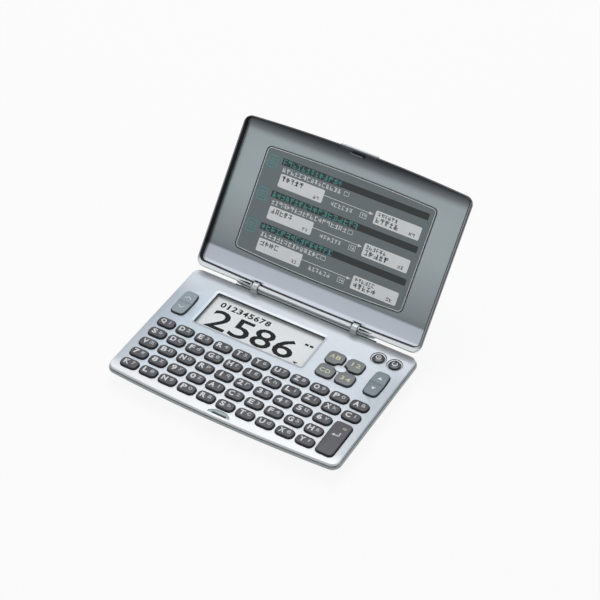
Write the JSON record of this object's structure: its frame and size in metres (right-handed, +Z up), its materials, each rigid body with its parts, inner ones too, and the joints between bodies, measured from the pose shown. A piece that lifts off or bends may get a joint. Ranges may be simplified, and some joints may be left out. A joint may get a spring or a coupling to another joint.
{
  "type": "electronic dictionary",
  "caption": "Pocket clamshell electronic dictionary: hinged lid with a reference card inside, small display window, letter keyboard, rockers and side keys.",
  "frame": {"origin": "centre of the flat underside of the lower case", "axes": "+Z up, out of the keyboard; -Y towards the user and the front edge; +X to the user's right; the lid's hinge runs along X at the back"},
  "size_m": [0.12, 0.129, 0.0732],
  "materials": {
    "silver_plastic": "satin metallic paint on plastic",
    "case_plastic": "matte, fine texture",
    "lid_plastic": "smooth metallic paint on plastic",
    "guide_plate": "printed satin card",
    "clear_window": "polished clear plastic",
    "lcd_glass": "glossy display glass",
    "white_plastic": "matte",
    "contact_rubber": "matte",
    "dome_rubber": "matte",
    "key_plastic": "satin",
    "enter_plastic": "satin",
    "mode_key_plastic": "satin",
    "rocker_plastic": "satin",
    "board": "solder resist",
    "chip": "matte",
    "steel": "plated",
    "foot_rubber": "matte"
  },
  "bodies": {
    "base": {"lower_case": "case_plastic", "keyboard_fascia": "silver_plastic", "display_window": "clear_window", "lcd_glass": "lcd_glass", "lcd_holder": "white_plastic", "lcd_contact_strip": "contact_rubber", "main_board": "board", "key_dome_mat": "dome_rubber", "controller_chip": "chip", "dictionary_memory_chip": "chip", "clock_crystal": "steel", "battery_cover": "case_plastic", "battery_cover_screw": "steel", "case_screw_1": "steel", "case_screw_2": "steel", "case_screw_3": "steel", "case_screw_4": "steel", "coin_cell_1": "steel", "coin_cell_2": "steel", "battery_spring_1": "steel", "battery_spring_2": "steel", "battery_side_contact_1": "steel", "battery_side_contact_2": "steel", "rubber_foot_1": "foot_rubber", "rubber_foot_2": "foot_rubber", "rubber_foot_3": "foot_rubber", "rubber_foot_4": "foot_rubber"},
    "lid": {"lid_inner_frame": "lid_plastic", "lid_outer_cover": "lid_plastic", "guide_plate": "guide_plate", "hinge_pin_left": "steel", "hinge_pin_right": "steel"},
    "letter_keys_row_1": {"letter_keys_row_1": "key_plastic"},
    "letter_keys_row_2": {"letter_keys_row_2": "key_plastic"},
    "letter_keys_row_3": {"letter_keys_row_3": "key_plastic"},
    "letter_keys_row_4": {"letter_keys_row_4": "key_plastic"},
    "letter_keys_row_5": {"letter_keys_row_5": "key_plastic"},
    "enter_key": {"enter_key": "enter_plastic"},
    "mode_key_1": {"mode_key_1": "mode_key_plastic"},
    "mode_key_2": {"mode_key_2": "mode_key_plastic"},
    "mode_key_3": {"mode_key_3": "mode_key_plastic"},
    "mode_key_4": {"mode_key_4": "mode_key_plastic"},
    "round_button_1": {"round_button_1": "key_plastic"},
    "round_button_2": {"round_button_2": "key_plastic"},
    "left_rocker": {"left_rocker": "rocker_plastic"},
    "right_rocker": {"right_rocker": "rocker_plastic"}
  },
  "joints": [
    {"name": "lid_hinge", "type": "hinge", "parent": "base", "child": "lid", "pos_m": [0, 0.039, 0.0115], "axis": [1, 0, 0], "range_deg": [-10, 129.8]},
    {"name": "letter_row_1_press", "type": "slide", "parent": "base", "child": "letter_keys_row_1", "axis": [0, 0, -1], "range_m": [0, 0.0008], "stiffness_N_per_m": 900, "springref_m": -0.0002},
    {"name": "letter_row_2_press", "type": "slide", "parent": "base", "child": "letter_keys_row_2", "axis": [0, 0, -1], "range_m": [0, 0.0008], "stiffness_N_per_m": 900, "springref_m": -0.0002},
    {"name": "letter_row_3_press", "type": "slide", "parent": "base", "child": "letter_keys_row_3", "axis": [0, 0, -1], "range_m": [0, 0.0008], "stiffness_N_per_m": 900, "springref_m": -0.0002},
    {"name": "letter_row_4_press", "type": "slide", "parent": "base", "child": "letter_keys_row_4", "axis": [0, 0, -1], "range_m": [0, 0.0008], "stiffness_N_per_m": 900, "springref_m": -0.0002},
    {"name": "letter_row_5_press", "type": "slide", "parent": "base", "child": "letter_keys_row_5", "axis": [0, 0, -1], "range_m": [0, 0.0008], "stiffness_N_per_m": 900, "springref_m": -0.0002},
    {"name": "enter_press", "type": "slide", "parent": "base", "child": "enter_key", "axis": [0, 0, -1], "range_m": [0, 0.0008], "stiffness_N_per_m": 900, "springref_m": -0.0002},
    {"name": "mode_1_press", "type": "slide", "parent": "base", "child": "mode_key_1", "axis": [0, 0, -1], "range_m": [0, 0.0008], "stiffness_N_per_m": 750, "springref_m": -0.0002},
    {"name": "mode_2_press", "type": "slide", "parent": "base", "child": "mode_key_2", "axis": [0, 0, -1], "range_m": [0, 0.0008], "stiffness_N_per_m": 750, "springref_m": -0.0002},
    {"name": "mode_3_press", "type": "slide", "parent": "base", "child": "mode_key_3", "axis": [0, 0, -1], "range_m": [0, 0.0008], "stiffness_N_per_m": 750, "springref_m": -0.0002},
    {"name": "mode_4_press", "type": "slide", "parent": "base", "child": "mode_key_4", "axis": [0, 0, -1], "range_m": [0, 0.0008], "stiffness_N_per_m": 750, "springref_m": -0.0002},
    {"name": "round_1_press", "type": "slide", "parent": "base", "child": "round_button_1", "axis": [0, 0, -1], "range_m": [0, 0.0008], "stiffness_N_per_m": 750, "springref_m": -0.0002},
    {"name": "round_2_press", "type": "slide", "parent": "base", "child": "round_button_2", "axis": [0, 0, -1], "range_m": [0, 0.0008], "stiffness_N_per_m": 750, "springref_m": -0.0002},
    {"name": "left_rocker_tilt", "type": "hinge", "parent": "base", "child": "left_rocker", "pos_m": [-0.0513, 0.01515, 0.0073], "axis": [1, 0, 0], "range_deg": [-4, 4], "stiffness_Nm_per_rad": 0.05},
    {"name": "right_rocker_tilt", "type": "hinge", "parent": "base", "child": "right_rocker", "pos_m": [0.0513, 0.01515, 0.0073], "axis": [1, 0, 0], "range_deg": [-4, 4], "stiffness_Nm_per_rad": 0.05}
  ]
}
